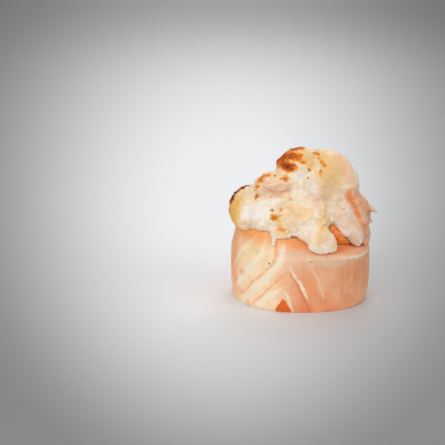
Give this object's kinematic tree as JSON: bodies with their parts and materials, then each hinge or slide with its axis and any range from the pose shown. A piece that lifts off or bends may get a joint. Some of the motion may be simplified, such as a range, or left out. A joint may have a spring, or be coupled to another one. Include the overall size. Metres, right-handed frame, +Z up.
{
  "type": "salmon-wrapped sushi with torched seafood topping",
  "caption": "Oval sushi piece wrapped in a slice of raw salmon and heaped high with torched prawn and seafood in cream sauce.",
  "frame": {"origin": "middle of the whole piece's footprint, on the surface it stands on", "axes": "+Z up, +X along the oval to the side with the salmon strip, -Y the front of the piece"},
  "size_m": [0.0542, 0.0432, 0.0558],
  "materials": {
    "salmon": "moist raw salmon with pale fat lines",
    "salmon_deep": "moist, deep orange salmon",
    "cream_sauce": "creamy sauce over seafood, torched brown in places",
    "prawn_meat": "moist cooked prawn"
  },
  "bodies": {
    "root": {"salmon_wrap": "salmon", "white_chunk": "cream_sauce", "prawn_flake": "prawn_meat", "pink_prawn": "prawn_meat", "cream_drape": "cream_sauce", "cream_lobe": "cream_sauce", "sauced_slab": "cream_sauce", "salmon_strip": "salmon", "salmon_chunk": "salmon_deep", "back_prawn": "prawn_meat", "back_lobe": "cream_sauce", "torched_mound": "cream_sauce"}
  },
  "joints": []
}
